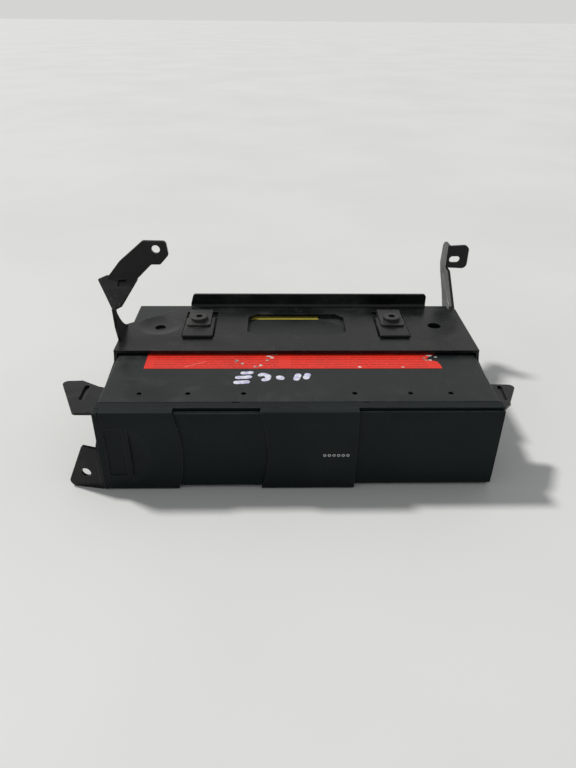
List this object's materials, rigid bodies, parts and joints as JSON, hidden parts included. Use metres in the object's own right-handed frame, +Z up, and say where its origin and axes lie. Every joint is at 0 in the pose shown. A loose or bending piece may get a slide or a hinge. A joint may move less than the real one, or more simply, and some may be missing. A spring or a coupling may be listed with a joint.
{
  "type": "car cd changer",
  "caption": "Wide flat car disc changer with a two-panel sliding front door, a disc magazine and lift mechanism inside, and a folded steel mounting bracket.",
  "frame": {"origin": "centre of the flat underside of the case", "axes": "+X to the right seen from the front, +Y to the rear, +Z up"},
  "size_m": [0.2987, 0.196, 0.1302],
  "materials": {
    "cover_steel": "satin black painted steel",
    "front_plastic": "fine-grained satin black moulding",
    "bracket_steel": "semi-gloss black electro-coated steel",
    "nut_clip": "black-phosphated spring steel",
    "fastener_steel": "zinc-plated steel",
    "magazine_plastic": "dark grey moulding",
    "disc": "clear polycarbonate over bright metal film",
    "mech_steel": "galvanised pressed steel",
    "mech_plastic": "natural acetal moulding",
    "motor_can": "drawn steel can",
    "bright_steel": "polished steel",
    "damper_rubber": "soft moulded rubber",
    "circuit_board": "green solder mask over glass fibre",
    "board_parts": "moulded chips and sleeved capacitors",
    "socket_plastic": "glass-filled moulding",
    "socket_brass": "tinned brass",
    "lens_glass": "coated glass",
    "red_label": "gloss printed red label, torn in spots",
    "yellow_label": "satin printed yellow label"
  },
  "bodies": {
    "housing": {"bottom_case": "cover_steel", "top_cover": "cover_steel", "front_bezel": "front_plastic", "eject_switch": "circuit_board", "eject_spring": "bright_steel", "magazine_guide": "mech_steel", "ejector_spring": "bright_steel", "mech_chassis": "mech_steel", "chassis_dampers": "damper_rubber", "lift_motor": "motor_can", "main_board": "circuit_board", "board_parts": "board_parts", "rear_socket": "socket_plastic", "socket_pins": "socket_brass", "bracket_plate": "bracket_steel", "rear_flange": "bracket_steel", "plate_tongues": "bracket_steel", "captive_nuts": "nut_clip", "left_side_plate": "bracket_steel", "right_side_plate": "bracket_steel", "left_arm": "bracket_steel", "right_arm": "bracket_steel", "bracket_screws": "fastener_steel", "top_label": "red_label", "code_label": "yellow_label"},
    "outer_door": {"door_outer": "front_plastic"},
    "inner_door": {"door_inner": "front_plastic"},
    "button": {"eject_button": "front_plastic"},
    "magazine": {"magazine_shell": "magazine_plastic", "disc_tray_1": "magazine_plastic", "disc_tray_2": "magazine_plastic", "disc_tray_3": "magazine_plastic", "disc_tray_4": "magazine_plastic", "disc_tray_5": "magazine_plastic", "disc_tray_6": "magazine_plastic", "disc_1": "disc", "disc_2": "disc", "disc_3": "disc", "disc_4": "disc", "disc_5": "disc", "disc_6": "disc"},
    "pusher": {"magazine_pusher": "mech_plastic"},
    "cam": {"cam_slider": "mech_steel"},
    "lift_drive": {"lift_screw": "bright_steel"},
    "carriage": {"lift_carriage": "mech_steel", "guide_rods": "bright_steel", "spindle_motor": "motor_can", "clamp_arm": "mech_steel", "sled_motor": "motor_can", "loading_motor": "motor_can"},
    "spindle": {"turntable": "mech_plastic"},
    "clamp": {"clamp_puck": "mech_plastic"},
    "pickup": {"pickup_sled": "mech_plastic", "objective_lens": "lens_glass"},
    "sled_drive": {"lead_screw": "bright_steel"},
    "hook": {"tray_hook": "mech_plastic"},
    "hook_drive": {"transfer_screw": "bright_steel"}
  },
  "joints": [
    {"name": "outer_door_slide", "type": "slide", "parent": "housing", "child": "outer_door", "axis": [1, 0, 0], "range_m": [0, 0.086]},
    {"name": "inner_door_slide", "type": "slide", "parent": "outer_door", "child": "inner_door", "axis": [1, 0, 0], "range_m": [0, 0.0522]},
    {"name": "eject_press", "type": "slide", "parent": "housing", "child": "button", "axis": [0, 1, 0], "range_m": [0, 0.001], "stiffness_N_per_m": 600, "springref_m": -0.001, "deforming": ["eject_spring"]},
    {"name": "magazine_slide", "type": "slide", "parent": "housing", "child": "magazine", "axis": [0, -1, 0], "range_m": [0, 0.004]},
    {"name": "pusher_slide", "type": "slide", "parent": "housing", "child": "pusher", "axis": [0, -1, 0], "range_m": [0, 0.004], "deforming": ["ejector_spring"]},
    {"name": "carriage_lift", "type": "slide", "parent": "housing", "child": "carriage", "axis": [0, 0, 1], "range_m": [0, 0.0265]},
    {"name": "cam_slide", "type": "slide", "parent": "housing", "child": "cam", "axis": [1, 0, 0], "range_m": [0, 0.022]},
    {"name": "lift_screw_spin", "type": "hinge", "parent": "housing", "child": "lift_drive", "pos_m": [0.074, 0.066, 0.03], "axis": [1, 0, 0], "range_deg": [0, 3960]},
    {"name": "turntable_spin", "type": "hinge", "parent": "carriage", "child": "spindle", "pos_m": [0.03, -0.005, 0.0128], "axis": [0, 0, 1], "continuous": true},
    {"name": "clamp_spin", "type": "hinge", "parent": "carriage", "child": "clamp", "pos_m": [0.03, -0.005, 0.0186], "axis": [0, 0, 1], "continuous": true},
    {"name": "sled_slide", "type": "slide", "parent": "carriage", "child": "pickup", "axis": [1, 0, 0], "range_m": [0, 0.034]},
    {"name": "lead_screw_spin", "type": "hinge", "parent": "carriage", "child": "sled_drive", "pos_m": [0.073, 0.019, 0.0114], "axis": [1, 0, 0], "range_deg": [0, 6120]},
    {"name": "tray_hook_slide", "type": "slide", "parent": "carriage", "child": "hook", "axis": [1, 0, 0], "range_m": [0, 0.083]},
    {"name": "transfer_screw_spin", "type": "hinge", "parent": "carriage", "child": "hook_drive", "pos_m": [0.061, -0.049, 0.0114], "axis": [1, 0, 0], "range_deg": [0, 7470]}
  ],
  "couplings": [
    {"joint": "pusher_slide", "follows": "magazine_slide", "ratio": 1},
    {"joint": "cam_slide", "follows": "carriage_lift", "ratio": 0.83018},
    {"joint": "lift_screw_spin", "follows": "carriage_lift", "rad_per_m": 2608},
    {"joint": "clamp_spin", "follows": "turntable_spin", "ratio": 1},
    {"joint": "lead_screw_spin", "follows": "sled_slide", "rad_per_m": 3141.5},
    {"joint": "transfer_screw_spin", "follows": "tray_hook_slide", "rad_per_m": 1570.8}
  ]
}
